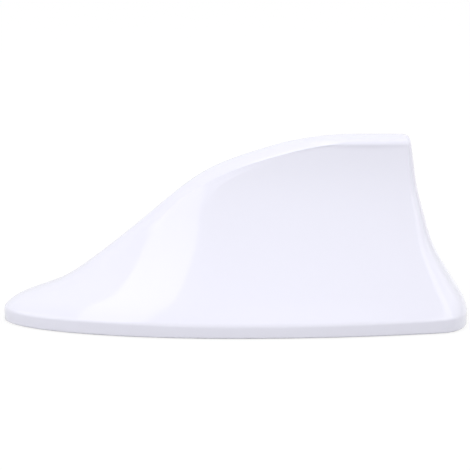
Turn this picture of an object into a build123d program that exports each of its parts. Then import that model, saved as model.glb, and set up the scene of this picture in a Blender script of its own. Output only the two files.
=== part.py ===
"""Shark fin roof aerial, stick-on kind, in mm.

Nose towards -X, tail towards +X, up is +Z. Z = 0 is the sticky underside that lies on the roof.
"""
import os

from build123d import *

os.makedirs("parts", exist_ok=True)

# Outer form of the fin
fin_length = 168.0
fin_width = 67.0
fin_height = 68.0
lip_height = 4.8
lip_round = 2.5
foot_edge = 1.0
edge_slack = 0.01

# Shell of the fin
cover_wall = 1.8
lip_wall = 2.2
shoulder_width = 2.2
boss_radius = 3.2
pilot_clearance = 0.05
guide_rib = 1.0
guide_grip = 2.0
guide_clearance = 0.15

# Tape, base plate and seal under the shell
tape_thickness = 1.2
tape_proud = 0.4
tape_edge = 0.55
tape_width = 6.5
plate_thickness = 2.2
plate_clearance = 0.15
seal_edge = 0.15
seal_width = 1.6
seal_height = 1.2
seal_rib_width = 1.2
seal_rib_height = 1.0
pad_radius = 4.2
pad_height = 2.0

# Countersunk screws through the base plate into the shell
screw_radius = 1.2
screw_length = 9.4
screw_head_radius = 2.75
screw_hole_clearance = 0.25
screw_end_gap = 0.8
nose_screw_setback = 26.0
side_screw_setback = 75.0
side_screw_gap = 1.0
tail_screw_setback = 16.0
tail_screw_spread = 24.0

# Cable inlet
inlet_radius = 1.6
inlet_setback = 11.0
grommet_wall = 2.4
grommet_flange = 1.4
grommet_lip = 0.8
grommet_neck = 2.4
grommet_neck_wall = 0.8

# Amplifier board and its fixings
board_length = 78.0
board_width = 25.0
board_thickness = 1.6
board_corner = 2.0
board_gap = 1.5
post_radius = 2.6
post_height = 4.0
post_inset = 3.6
board_screw_radius = 0.85
board_screw_length = 5.0
board_screw_head = 1.9
board_screw_head_height = 1.4
board_screw_edge = 0.4
board_screw_clearance = 0.15
board_screw_end_gap = 0.4

# Parts on the amplifier board
part_gap = 0.5
lane_inset = 5.0
can_length = 24.0
can_width = 18.0
can_height = 4.2
can_sheet = 0.3
can_hole_radius = 0.9
can_hole_pitch = 5.0
can_hole_columns = 4
can_hole_rows = 2
chip_length = 4.9
chip_width = 3.9
chip_height = 1.5
chip_edge = 0.25
chip_dot_radius = 0.4
chip_dot_depth = 0.1
leg_width = 0.4
leg_reach = 1.0
leg_sheet = 0.2
leg_pitch = 1.27
legs_a_side = 4
passive_length = 2.0
passive_width = 1.25
capacitor_height = 0.8
resistor_height = 0.5
passive_gap = 1.35
supply_radius = 2.5
supply_height = 5.2
supply_foot = 5.4
supply_foot_height = 1.0
supply_edge = 0.4
choke_radius = 3.0
choke_waist = 1.8
choke_height = 4.0
choke_flange = 0.8
choke_slope = 0.4
coil_size = 5.0
coil_height = 4.6
coil_edge = 0.5
coil_core_radius = 1.5
coil_core_depth = 0.8
coil_slot_width = 0.5
coil_slot_depth = 1.2
socket_size = 6.0
socket_barrel_radius = 2.4
socket_barrel_wall = 0.5
socket_barrel_length = 4.6
socket_pin_radius = 0.5

# Upright aerial board with its copper track, top plate and feed tabs
aerial_thickness = 1.2
ridge_gap = 4.0
heel_inset = 2.0
heel_height = 2.0
heel_rise = 20.0
tenon_length = 8.0
tenon_places = (0.25, 0.75)
slot_clearance = 0.1
track_width = 1.6
track_depth = 0.15
track_rows = 7
track_run = 30.0
track_inset = 5.0
track_margin = 1.0
plate_sheet = 0.4
plate_wing = 7.0
plate_side_gap = 1.3
plate_front_gap = 6.0
plate_rear_gap = 3.0
tab_width = 5.0
tab_leg = 3.0
tab_rise = 5.0
tab_sheet = 0.2

# Form of the fin, level by level: share of the height, of the length at the nose and at the tail,
# of the width, and of the level's own length in its round nose
FOOT = (0.0, 0.0, 1.0, 1.0, 0.500)
LEVELS = [
    FOOT,
    (0.0450, 0.0190, 0.9946, 0.9330, 0.490),
    (0.0920, 0.0550, 0.9857, 0.8640, 0.475),
    (0.1560, 0.1200, 0.9700, 0.7770, 0.455),
    (0.2360, 0.1700, 0.9518, 0.6760, 0.420),
    (0.3630, 0.2330, 0.9256, 0.5310, 0.355),
    (0.5220, 0.3060, 0.9065, 0.3830, 0.250),
    (0.6820, 0.3775, 0.8905, 0.2710, 0.150),
    (0.8090, 0.4495, 0.8827, 0.2100, 0.185),
    (0.9040, 0.5420, 0.8780, 0.1820, 0.265),
    (0.9430, 0.5900, 0.8760, 0.1735, 0.300),
    (0.9586, 0.6130, 0.8748, 0.1680, 0.300),
    (0.9721, 0.6400, 0.8734, 0.1505, 0.300),
    (0.9880, 0.6790, 0.8694, 0.1060, 0.300),
    (0.9976, 0.7180, 0.8620, 0.0565, 0.290),
    (1.0000, 0.7380, 0.8540, 0.0270, 0.280),
]
LOW_RIDGE = LEVELS[7]
MID_RIDGE = LEVELS[8]
HIGH_RIDGE = LEVELS[9]

# Share of a level's width at its tail corners, and how its tail is rounded
tail_share_foot = 0.74
tail_share_ridge = 0.90
corner_share = 0.32
corner_pull_foot = 0.60
corner_pull_ridge = 0.47
tail_pull_foot = 0.72
tail_pull_ridge = 0.60

# Heights of the layers
plate_z = tape_thickness
plate_top = plate_z + plate_thickness
shoulder_z = plate_top + seal_height
lip_top = tape_proud + lip_height
pad_top = plate_top + pad_height
board_z = plate_top + post_height
board_top = board_z + board_thickness


def level_z(level):
    return lip_top + level[0] * (fin_height - lip_top)


def nose_x(level):
    return (level[1] - 0.5) * fin_length


def tail_x(level):
    return (level[2] - 0.5) * fin_length


def outline(level, inset):
    """Edges of the plan outline at a level, drawn in from the skin by the inset."""
    fall = 1 - level[0]
    x0 = nose_x(level) + inset
    x1 = tail_x(level) - inset
    half = level[3] * fin_width / 2 - inset
    nose_run = (x1 - x0) * level[4]
    tail_half = half * (tail_share_ridge + (tail_share_foot - tail_share_ridge) * fall)
    corner = corner_share * tail_half
    corner_pull = corner_pull_ridge + (corner_pull_foot - corner_pull_ridge) * fall
    tail_pull = tail_pull_ridge + (tail_pull_foot - tail_pull_ridge) * fall
    xm = x0 + nose_run
    xk = x1 - corner
    with BuildLine(Plane.XY) as path:
        EllipticalCenterArc((xm, 0), nose_run, half, 90, arc_size=180)
        flank = TangentArc((xm, half), (xk, tail_half), tangent=(1, 0))
        lean = flank % 1
        reach = corner_pull * corner
        Bezier(
            (xk, tail_half),
            (xk + reach, tail_half + reach * lean.Y / lean.X),
            (x1, tail_pull * tail_half),
            (x1, 0),
        )
        mirror(path.edges()[1:], about=Plane.XZ)
    return path.edges()


# Places that several pieces share
UP = (Align.CENTER, Align.CENTER, Align.MIN)
mouth_inset = lip_wall + shoulder_width
plate_inset = lip_wall + plate_clearance
rib_inset = mouth_inset + plate_clearance
seal_inset = plate_inset + seal_edge
tape_inset = plate_inset + tape_edge
nose_screw_x = nose_screw_setback - fin_length / 2
side_screw_x = side_screw_setback - fin_length / 2
side_screw_y = board_width / 2 + side_screw_gap + pad_radius
tail_screw_x = fin_length / 2 - tail_screw_setback
screw_points = [
    (nose_screw_x, 0),
    (side_screw_x, side_screw_y),
    (side_screw_x, -side_screw_y),
    (tail_screw_x, tail_screw_spread / 2),
    (tail_screw_x, -tail_screw_spread / 2),
]
board_front = nose_screw_x + boss_radius + board_gap
board_rear = board_front + board_length
board_x = (board_front + board_rear) / 2
post_front = board_front + post_inset
post_rear = board_rear - post_inset
post_y = board_width / 2 - post_inset
post_points = [(x, y) for x in (post_front, post_rear) for y in (post_y, -post_y)]
inlet_x = board_rear + inlet_setback
grommet_radius = inlet_radius + grommet_wall
can_front = post_front + board_screw_head + part_gap
can_rear = can_front + can_length
socket_face = post_rear - board_screw_head - part_gap
socket_front = socket_face - socket_size
lane_y = board_width / 2 - lane_inset
aerial_front = can_rear + heel_inset
aerial_heel = board_rear - heel_inset
aerial_rear = tail_x(MID_RIDGE) - cover_wall - ridge_gap
aerial_top = level_z(HIGH_RIDGE) - cover_wall
wing_z = aerial_top - plate_wing
tenon_points = [(aerial_front + share * (aerial_heel - aerial_front), 0) for share in tenon_places]


def lane_place(place, rear):
    """Middle of one of three equal places between the can and the rear end of a lane."""
    return can_rear + (place + 0.5) / 3 * (rear - can_rear)


# Hollow of the shell, with the screw bosses and the guide ribs left standing
with BuildPart() as hollow:
    for level in LEVELS[:-2]:
        with BuildSketch(Plane.XY.offset(level_z(level) - cover_wall)):
            make_face(outline(level, cover_wall))
    loft()
    with BuildSketch(Plane.XY.offset(shoulder_z)):
        make_face(outline(FOOT, mouth_inset))
    extrude(amount=fin_height, mode=Mode.INTERSECT)
    with BuildSketch(Plane.XY):
        make_face(outline(FOOT, lip_wall))
    extrude(amount=shoulder_z)
    with Locations(*[(x, y, pad_top) for x, y in screw_points]):
        Cylinder(boss_radius, fin_height, align=UP, mode=Mode.SUBTRACT)
    rib_y = aerial_thickness / 2 + guide_clearance + guide_rib / 2
    rib_z = board_top + heel_rise
    with Locations(*[(aerial_rear - guide_grip, y, rib_z) for y in (rib_y, -rib_y)]):
        Box(
            fin_length,
            guide_rib,
            wing_z - rib_z,
            align=(Align.MIN, Align.CENTER, Align.MIN),
            mode=Mode.SUBTRACT,
        )

# Outer shell
with BuildPart() as fin_cover:
    for level in LEVELS:
        with BuildSketch(Plane.XY.offset(level_z(level))):
            make_face(outline(level, 0))
    loft()
    with BuildSketch(Plane.XY.offset(tape_proud)):
        make_face(outline(FOOT, 0))
    extrude(amount=lip_height)
    lip_edges = fin_cover.edges().filter_by_position(Axis.Z, lip_top - edge_slack, lip_top + edge_slack)
    fillet(lip_edges.filter_by(lambda edge: edge.bounding_box().size.Z < edge_slack), lip_round)
    chamfer(fin_cover.faces().sort_by(Axis.Z)[0].edges(), foot_edge)
    add(hollow.part, mode=Mode.SUBTRACT)
    with Locations(*[(x, y, pad_top) for x, y in screw_points]):
        Cylinder(
            screw_radius + pilot_clearance,
            plate_z + screw_length + screw_end_gap - pad_top,
            align=UP,
            mode=Mode.SUBTRACT,
        )
fin_cover.part.label = "fin_cover"
export_step(fin_cover.part, "parts/fin_cover.step")

# Base plate with screw pads, board posts, a rib that keeps the seal in place and the cable hole
with BuildPart() as base_plate:
    with BuildSketch(Plane.XY.offset(plate_z)):
        make_face(outline(FOOT, plate_inset))
    extrude(amount=plate_thickness)
    with BuildSketch(Plane.XY.offset(plate_top)):
        make_face(outline(FOOT, rib_inset))
        make_face(outline(FOOT, rib_inset + seal_rib_width), mode=Mode.SUBTRACT)
    extrude(amount=seal_rib_height)
    with Locations(*[(x, y, plate_top) for x, y in screw_points]):
        Cylinder(pad_radius, pad_height, align=UP)
    with Locations(*[(x, y, plate_top) for x, y in post_points]):
        Cylinder(post_radius, post_height, align=UP)
    with Locations(*[(x, y, plate_z) for x, y in screw_points]):
        Cylinder(screw_radius + screw_hole_clearance, fin_height, align=UP, mode=Mode.SUBTRACT)
        Cone(
            screw_head_radius,
            screw_radius,
            screw_head_radius - screw_radius,
            align=UP,
            mode=Mode.SUBTRACT,
        )
    board_pilot_z = board_top - board_screw_length - board_screw_end_gap
    with Locations(*[(x, y, board_pilot_z) for x, y in post_points]):
        Cylinder(board_screw_radius + pilot_clearance, fin_height, align=UP, mode=Mode.SUBTRACT)
    with Locations((inlet_x, 0, plate_z)):
        Cylinder(grommet_radius, fin_height, align=UP, mode=Mode.SUBTRACT)
base_plate.part.label = "base_plate"
export_step(base_plate.part, "parts/base_plate.step")

# Seal between plate and shell
with BuildPart() as cover_seal:
    with BuildSketch(Plane.XY.offset(plate_top)):
        make_face(outline(FOOT, seal_inset))
        make_face(outline(FOOT, seal_inset + seal_width), mode=Mode.SUBTRACT)
    extrude(amount=seal_height)
cover_seal.part.label = "cover_seal"
export_step(cover_seal.part, "parts/cover_seal.step")

# Sticky tape under the plate
with BuildPart() as adhesive_ring:
    with BuildSketch(Plane.XY):
        make_face(outline(FOOT, tape_inset))
        make_face(outline(FOOT, tape_inset + tape_width), mode=Mode.SUBTRACT)
    extrude(amount=tape_thickness)
adhesive_ring.part.label = "adhesive_ring"
export_step(adhesive_ring.part, "parts/adhesive_ring.step")

# Countersunk screws
with BuildPart() as base_screws:
    with Locations(*[(x, y, plate_z) for x, y in screw_points]):
        Cylinder(screw_radius, screw_length, align=UP)
        Cone(screw_head_radius, screw_radius, screw_head_radius - screw_radius, align=UP)
base_screws.part.label = "base_screws"
export_step(base_screws.part, "parts/base_screws.step")

# Rubber grommet in the cable inlet
with BuildPart() as cable_grommet:
    with Locations((inlet_x, 0, plate_z - grommet_lip)):
        Cylinder(grommet_radius, plate_thickness + 2 * grommet_lip, align=UP)
    with Locations((inlet_x, 0, plate_z - grommet_lip), (inlet_x, 0, plate_top)):
        Cylinder(grommet_radius + grommet_flange, grommet_lip, align=UP)
    with Locations((inlet_x, 0, plate_top + grommet_lip)):
        Cone(grommet_radius, inlet_radius + grommet_neck_wall, grommet_neck, align=UP)
    with Locations((inlet_x, 0, 0)):
        Cylinder(inlet_radius, fin_height, mode=Mode.SUBTRACT)
cable_grommet.part.label = "cable_grommet"
export_step(cable_grommet.part, "parts/cable_grommet.step")

# Amplifier board with slots for the feet of the aerial board
with BuildPart() as amplifier_board:
    with BuildSketch(Plane.XY.offset(board_z)):
        with Locations((board_x, 0)):
            RectangleRounded(board_length, board_width, board_corner)
        with Locations(*post_points):
            Circle(board_screw_radius + board_screw_clearance, mode=Mode.SUBTRACT)
        with Locations(*tenon_points):
            Rectangle(
                tenon_length + 2 * slot_clearance,
                aerial_thickness + 2 * slot_clearance,
                mode=Mode.SUBTRACT,
            )
    extrude(amount=board_thickness)
amplifier_board.part.label = "amplifier_board"
export_step(amplifier_board.part, "parts/amplifier_board.step")

# Pan head screws of the amplifier board
with BuildPart() as board_screws:
    with Locations(*[(x, y, board_top) for x, y in post_points]):
        Cylinder(board_screw_head, board_screw_head_height, align=UP)
    chamfer(board_screws.edges().group_by(Axis.Z)[-1], board_screw_edge)
    with Locations(*[(x, y, board_top - board_screw_length) for x, y in post_points]):
        Cylinder(board_screw_radius, board_screw_length, align=UP)
board_screws.part.label = "board_screws"
export_step(board_screws.part, "parts/board_screws.step")

# Tinned can over the tuner end of the board
with BuildPart() as shield_can:
    can_x = can_front + can_length / 2
    with Locations((can_x, 0, board_top)):
        Box(can_length, can_width, can_height, align=UP)
        Box(
            can_length - 2 * can_sheet,
            can_width - 2 * can_sheet,
            can_height - can_sheet,
            align=UP,
            mode=Mode.SUBTRACT,
        )
        with GridLocations(can_hole_pitch, can_hole_pitch, can_hole_columns, can_hole_rows):
            Cylinder(can_hole_radius, 2 * can_height, align=UP, mode=Mode.SUBTRACT)
shield_can.part.label = "shield_can"
export_step(shield_can.part, "parts/shield_can.step")

# Amplifier chip with a dot at its first leg
chip_x = lane_place(0, socket_front)
with BuildPart() as amplifier_chip:
    with Locations((chip_x, -lane_y, board_top + leg_sheet)):
        Box(chip_length, chip_width, chip_height, align=UP)
    chamfer(amplifier_chip.edges().group_by(Axis.Z)[-1], chip_edge)
    dot_x = chip_x - chip_length / 2 + chip_edge + 2 * chip_dot_radius
    dot_y = -lane_y - chip_width / 2 + chip_edge + 2 * chip_dot_radius
    with Locations((dot_x, dot_y, board_top + leg_sheet + chip_height - chip_dot_depth)):
        Cylinder(chip_dot_radius, chip_height, align=UP, mode=Mode.SUBTRACT)
amplifier_chip.part.label = "amplifier_chip"
export_step(amplifier_chip.part, "parts/amplifier_chip.step")

# Legs of the chip
with BuildPart() as chip_legs:
    with Locations((chip_x, -lane_y, board_top)):
        with GridLocations(leg_pitch, chip_width + leg_reach, legs_a_side, 2):
            Box(leg_width, leg_reach, leg_sheet, align=UP)
        with GridLocations(leg_pitch, chip_width + leg_sheet, legs_a_side, 2):
            Box(leg_width, leg_sheet, leg_sheet + chip_height / 2, align=UP)
chip_legs.part.label = "chip_legs"
export_step(chip_legs.part, "parts/chip_legs.step")

# Ceramic capacitors and resistors
with BuildPart() as chip_capacitors:
    with Locations((lane_place(1, socket_front), -lane_y, board_top)):
        with GridLocations(passive_length + passive_gap, passive_width + passive_gap, 2, 3):
            Box(passive_length, passive_width, capacitor_height, align=UP)
chip_capacitors.part.label = "chip_capacitors"
export_step(chip_capacitors.part, "parts/chip_capacitors.step")

with BuildPart() as chip_resistors:
    with Locations((lane_place(2, socket_front), -lane_y, board_top)):
        with GridLocations(passive_length, passive_width + passive_gap, 1, 3):
            Box(passive_length, passive_width, resistor_height, align=UP)
chip_resistors.part.label = "chip_resistors"
export_step(chip_resistors.part, "parts/chip_resistors.step")

# Tuning coil in a square housing with a slotted core
coil_x = lane_place(0, socket_face)
with BuildPart() as tuning_coil:
    with Locations((coil_x, lane_y, board_top)):
        Box(coil_size, coil_size, coil_height, align=UP)
    fillet(tuning_coil.edges().filter_by(Axis.Z), coil_edge)
    with Locations((coil_x, lane_y, board_top + coil_height - coil_core_depth)):
        Cylinder(coil_core_radius, coil_height, align=UP, mode=Mode.SUBTRACT)
    with Locations((coil_x, lane_y, board_top + coil_height - coil_core_depth - coil_slot_depth)):
        Box(coil_slot_width, 2 * coil_core_radius, coil_height, align=UP, mode=Mode.SUBTRACT)
tuning_coil.part.label = "tuning_coil"
export_step(tuning_coil.part, "parts/tuning_coil.step")

# Supply capacitor, a small can on a square foot
with BuildPart() as supply_capacitor:
    with Locations((lane_place(1, socket_face), lane_y, board_top)):
        Box(supply_foot, supply_foot, supply_foot_height, align=UP)
        Cylinder(supply_radius, supply_height, align=UP)
    chamfer(supply_capacitor.edges().group_by(Axis.Z)[-1], supply_edge)
supply_capacitor.part.label = "supply_capacitor"
export_step(supply_capacitor.part, "parts/supply_capacitor.step")

# Drum choke, turned about its own upright axis
choke_x = lane_place(2, socket_face)
with BuildPart() as supply_choke:
    with BuildSketch(Plane((choke_x, lane_y, board_top), x_dir=(1, 0, 0), z_dir=(0, -1, 0))):
        with BuildLine():
            Polyline(
                (0, 0),
                (choke_radius, 0),
                (choke_radius, choke_flange),
                (choke_waist, choke_flange + choke_slope),
                (choke_waist, choke_height - choke_flange - choke_slope),
                (choke_radius, choke_height - choke_flange),
                (choke_radius, choke_height),
                (0, choke_height),
                close=True,
            )
        make_face()
    revolve(axis=Axis((choke_x, lane_y, 0), (0, 0, 1)))
supply_choke.part.label = "supply_choke"
export_step(supply_choke.part, "parts/supply_choke.step")

# Socket for the cable
socket_y = -aerial_thickness / 2 - track_depth - part_gap - socket_size / 2
socket_z = board_top + socket_size / 2
with BuildPart() as cable_socket:
    with Locations((socket_face - socket_size / 2, socket_y, socket_z)):
        Box(socket_size, socket_size, socket_size)
    with BuildSketch(Plane.YZ.offset(socket_face)):
        with Locations((socket_y, socket_z)):
            Circle(socket_barrel_radius)
            Circle(socket_barrel_radius - socket_barrel_wall, mode=Mode.SUBTRACT)
            Circle(socket_pin_radius)
    extrude(amount=socket_barrel_length)
cable_socket.part.label = "cable_socket"
export_step(cable_socket.part, "parts/cable_socket.step")

# Upright aerial board, its front edge along the ridge and its feet in the slots
low_x = nose_x(LOW_RIDGE) + cover_wall + ridge_gap
mid_x = nose_x(MID_RIDGE) + cover_wall + ridge_gap
high_x = nose_x(HIGH_RIDGE) + cover_wall + ridge_gap
with BuildPart() as aerial_board:
    with BuildSketch(Plane.XZ):
        with BuildLine():
            Polyline(
                (aerial_front, board_top),
                (low_x, level_z(LOW_RIDGE) - cover_wall),
                (mid_x, level_z(MID_RIDGE) - cover_wall),
                (high_x, aerial_top),
                (aerial_rear, aerial_top),
                (aerial_rear, board_top + heel_rise),
                (aerial_heel, board_top + heel_height),
                (aerial_heel, board_top),
                close=True,
            )
        make_face()
        with Locations(*[(x, board_top - board_thickness / 2) for x, y in tenon_points]):
            Rectangle(tenon_length, board_thickness)
    extrude(amount=aerial_thickness / 2, both=True)
aerial_board.part.label = "aerial_board"
export_step(aerial_board.part, "parts/aerial_board.step")

# Copper track on the near face of the aerial board, row above row
track_x = mid_x + track_inset
track_low = board_top + track_inset
track_high = wing_z - track_inset
track_points = [(track_x, board_top + track_margin)]
for row in range(track_rows):
    z = track_low + row / (track_rows - 1) * (track_high - track_low)
    ends = [track_x, track_x + track_run]
    if row % 2 == 1:
        ends.reverse()
    track_points.append((ends[0], z))
    track_points.append((ends[1], z))
track_points.append((track_points[-1][0], aerial_top - track_margin))
with BuildPart() as aerial_track:
    with BuildSketch(Plane.XZ.offset(aerial_thickness / 2)):
        with BuildLine():
            track_path = Polyline(*track_points)
        trace(track_path, track_width)
    extrude(amount=track_depth)
aerial_track.part.label = "aerial_track"
export_step(aerial_track.part, "parts/aerial_track.step")

# Folded metal top plate on the top edge of the aerial board
plate_half = HIGH_RIDGE[3] * fin_width / 2 - cover_wall - plate_side_gap
plate_front = high_x + plate_front_gap
plate_rear = aerial_rear - plate_rear_gap
with BuildPart() as top_plate:
    with BuildSketch(Plane.YZ.offset(plate_front)):
        with BuildLine():
            Polyline(
                (-plate_half, wing_z),
                (-plate_half, aerial_top + plate_sheet),
                (plate_half, aerial_top + plate_sheet),
                (plate_half, wing_z),
                (plate_half - plate_sheet, wing_z),
                (plate_half - plate_sheet, aerial_top),
                (plate_sheet - plate_half, aerial_top),
                (plate_sheet - plate_half, wing_z),
                close=True,
            )
        make_face()
    extrude(amount=plate_rear - plate_front)
top_plate.part.label = "top_plate"
export_step(top_plate.part, "parts/top_plate.step")

# Bent feed tabs that join the two boards
with BuildPart() as feed_tabs:
    for x in (aerial_front + tab_width, aerial_heel - tab_width):
        with Locations((x, aerial_thickness / 2, board_top)):
            Box(tab_width, tab_leg, tab_sheet, align=(Align.CENTER, Align.MIN, Align.MIN))
            Box(tab_width, tab_sheet, tab_rise, align=(Align.CENTER, Align.MIN, Align.MIN))
feed_tabs.part.label = "feed_tabs"
export_step(feed_tabs.part, "parts/feed_tabs.step")
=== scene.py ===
"""Shark fin roof aerial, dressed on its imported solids. Metres, nose towards -X, up is +Z."""
import math

import bmesh
import bpy
import numpy as np
from bpy.props import FloatProperty, FloatVectorProperty, PointerProperty
from mathutils import Matrix, Vector


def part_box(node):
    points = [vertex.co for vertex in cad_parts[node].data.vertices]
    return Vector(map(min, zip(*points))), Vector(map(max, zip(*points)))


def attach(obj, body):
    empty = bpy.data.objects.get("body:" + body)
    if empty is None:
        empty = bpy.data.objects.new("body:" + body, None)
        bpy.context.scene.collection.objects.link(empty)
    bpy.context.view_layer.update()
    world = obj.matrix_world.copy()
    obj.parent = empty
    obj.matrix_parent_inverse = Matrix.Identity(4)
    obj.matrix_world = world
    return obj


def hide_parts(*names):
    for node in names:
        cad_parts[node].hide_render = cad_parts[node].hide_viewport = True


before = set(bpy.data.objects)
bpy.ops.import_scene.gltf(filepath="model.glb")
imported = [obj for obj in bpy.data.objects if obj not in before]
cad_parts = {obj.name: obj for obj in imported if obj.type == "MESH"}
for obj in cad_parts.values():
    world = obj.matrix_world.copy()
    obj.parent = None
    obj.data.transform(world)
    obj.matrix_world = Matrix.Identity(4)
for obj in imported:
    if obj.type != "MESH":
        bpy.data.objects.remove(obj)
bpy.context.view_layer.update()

bl_info = {
    "name": "Shark fin aerial",
    "version": (1, 0, 0),
    "blender": (4, 5, 0),
    "location": "View3D > Sidebar > Fin aerial",
    "description": "Builds the finished look of a stick-on shark fin roof aerial",
    "category": "Object",
}

MM = 0.001
COVER_LOW, COVER_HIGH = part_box("fin_cover")
BOARD_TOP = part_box("amplifier_board")[1].z
AERIAL_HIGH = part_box("aerial_board")[1]
WING_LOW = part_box("top_plate")[0].z

# Form of the fin, level by level: share of the height, of the length at the nose and at the tail,
# of the width, of the level's own length in its round nose, and how crisp the crest is there
LEVELS = [
    (0.0000, 0.0000, 1.0000, 1.0000, 0.500, 0.0),
    (0.0450, 0.0190, 0.9946, 0.9330, 0.470, 0.0),
    (0.0920, 0.0550, 0.9857, 0.8640, 0.440, 0.0),
    (0.1560, 0.1200, 0.9700, 0.7770, 0.415, 0.0),
    (0.2360, 0.1700, 0.9518, 0.6760, 0.395, 0.1),
    (0.3630, 0.2330, 0.9256, 0.5310, 0.345, 0.4),
    (0.5220, 0.3060, 0.9065, 0.3830, 0.250, 0.8),
    (0.6820, 0.3775, 0.8905, 0.2710, 0.150, 1.0),
    (0.8090, 0.4495, 0.8827, 0.2100, 0.185, 1.0),
    (0.9040, 0.5420, 0.8780, 0.1820, 0.280, 1.0),
    (0.9430, 0.5900, 0.8760, 0.1735, 0.400, 0.9),
    (0.9586, 0.6130, 0.8748, 0.1680, 0.500, 0.6),
    (0.9721, 0.6400, 0.8734, 0.1505, 0.500, 0.2),
    (0.9880, 0.6790, 0.8694, 0.1060, 0.440, 0.0),
    (0.9976, 0.7180, 0.8620, 0.0565, 0.380, 0.0),
    (1.0000, 0.7380, 0.8540, 0.0270, 0.340, 0.0),
]
FOOT = LEVELS[0]

# Shares at the foot and at the ridge: width at the tail corners, and pulls of the tail curve
TAIL_SHARE = (0.74, 0.90)
CORNER_PULL = (0.46, 0.42)
TAIL_PULL = (0.72, 0.60)
CORNER_SHARE = 0.42

# Crest where crown and flank meet: half width, how much it sharpens, flattens and stands out
CREST_HALF = 7.0 * MM
CREST_PUSH = 0.25 * MM
CREST_SHARP = 0.85
CREST_FLAT = 0.70
CREST_POWER = 8

# Light of the sky on the camera's side and behind the fin: sine of the angle above the floor, brightness
SKY_FRONT = ((0.0, 1.62), (0.26, 1.33), (0.5, 1.12), (0.77, 0.44), (1.0, 0.28))
SKY_BACK = ((0.0, 0.85), (0.26, 0.92), (0.5, 0.92), (0.77, 0.65), (1.0, 0.28))
SKY_TURN = 0.35

# Corners of the lit panels towards the tail and the nose, in degrees round and up, and their soft edge
TAIL_PANEL = ((18, 12), (27, 30), (38, 46), (84, 46), (90, 12))
NOSE_PANEL = ((-106, 0), (-102, 40), (-76, 44), (-54, 48), (-43, 48), (-40, 0))
PANEL_EDGE = 0.06

# Floor: how much light it gives back, and how much it adds where it is seen
FLOOR_TONE = 0.16
FLOOR_GLOW = 0.86

# Points along the crown, the front, the flank and the tail of a skin loop, and rows between levels
SKIN_COUNTS = (32, 36, 32, 28)
SKIN_STEPS = 8
INNER_COUNTS = (14, 14, 14, 12)
INNER_STEPS = 4

# Rows in the round of the lip and of the foot, and places of the rows on the upright band
LIP_ROWS = 10
FOOT_ROWS = 8
BAND_SHARES = (0.25, 0.5, 0.75)

# Sides of the bosses, of the holes in them and of the screws
BOSS_SIDES = 32
PILOT_SIDES = 24
SCREW_SIDES = 32

# Angles in degrees above which an edge stays crisp
COVER_CRISP = 35
SCREW_CRISP = 30
PART_CRISP = 40

# Screws: turn from one to the next, steps in a turn of thread, and gap between head and thread
SCREW_TURN = math.radians(37)
THREAD_STEPS = 8
THREAD_GAP = 0.02 * MM

# Thread: its root as a share of the shank, slope of its teeth, taper at the end, and share of the tip
THREAD_ROOT = 0.78
THREAD_SLOPE = 3.2
THREAD_TAPER = 0.45
THREAD_TIP = 0.4

# Round of the screw heads' rim as a share of the head
HEAD_EDGE = 0.1

# Cross recess as shares of the head: length, width and depth of its arms, and their narrow end
RECESS_ARM = 0.58
RECESS_BLADE = 0.15
RECESS_DEPTH = 0.5
RECESS_END = 0.45

# Small board parts: length of the tinned caps, how far the body lies below them, and their round edge
CAP_LENGTH = 0.4 * MM
CAP_SINK = 0.03 * MM
CAP_EDGE = 0.05 * MM
CAN_FOOT = 1.0 * MM

# Finishes with one grain: roughness, size of the grain, depth of its relief, and metal or not
GRAINS = {
    "base_plastic": (0.52, 0.25 * MM, 0.012 * MM, 0.0),
    "seal_rubber": (0.68, 0.40 * MM, 0.010 * MM, 0.0),
    "grommet_rubber": (0.60, 0.30 * MM, 0.006 * MM, 0.0),
    "screw_zinc": (0.30, 0.15 * MM, 0.002 * MM, 1.0),
    "track_copper": (0.30, 0.30 * MM, 0.002 * MM, 1.0),
    "tinned_sheet": (0.28, 0.20 * MM, 0.002 * MM, 1.0),
    "socket_brass": (0.26, 0.20 * MM, 0.002 * MM, 1.0),
    "solder_tin": (0.34, 0.15 * MM, 0.004 * MM, 1.0),
    "ceramic_tan": (0.45, 0.20 * MM, 0.003 * MM, 0.0),
    "resistor_film": (0.35, 0.20 * MM, 0.003 * MM, 0.0),
    "chip_resin": (0.58, 0.12 * MM, 0.006 * MM, 0.0),
    "choke_ferrite": (0.50, 0.20 * MM, 0.008 * MM, 0.0),
}

# Patches of tone in grains, detail of the noise, its stretched range, and how far roughness wanders
TONE_PATCH = 8
FINE_DETAIL = 3.0
NOISE_RANGE = (0.3, 0.7)
ROUGH_PLAY = 0.15
GLOSS_IOR = 1.5

# Cover paint: size of the clouds in its tone and in its gloss, and how far each wanders
TONE_CLOUD = 60 * MM
GLOSS_CLOUD = 20 * MM
TONE_PLAY = 0.006
GLOSS_PLAY = 0.1

# Tape: size and depth of the pores, painted shade in them as a share of the foam's tone, size of the
# clouds, and least and most roughness
PORE_SIZE = 0.35 * MM
PORE_DEPTH = 0.05 * MM
PORE_SHADE = 0.55
FOAM_CLOUD = 1.5 * MM
FOAM_ROUGHNESS = (0.82, 0.95)

# Boards: size of the fields of tracks, pitch, limit, height and tone of the tracks, and the mask's grain
TRACK_FIELD = 7 * MM
TRACK_PITCH = 1.3 * MM
TRACK_LIMIT = 0.72
TRACK_HEIGHT = 0.03 * MM
TRACK_LIFT = 0.03
TRACK_GAIN = 1.7
TRACK_WAYS = (("X", 0.0, 0.4), ("Y", 0.4, 0.75))
MASK_TONE = 0.85
MASK_CLOUD = 9 * MM
MASK_GRAIN = 2 * MM
MASK_ROUGHNESS = (0.24, 0.36)

# Length of one wave in Blender's wave texture at scale 1
WAVE_LENGTH = 0.314

# Capacitor can: grain, darkest tone of the metal and of the foot, and least and most roughness
CAN_GRAIN = 1.2 * MM
CAN_TONE = 0.9
CAN_FOOT_TONE = 0.8
CAN_ROUGHNESS = (0.28, 0.40)

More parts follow.
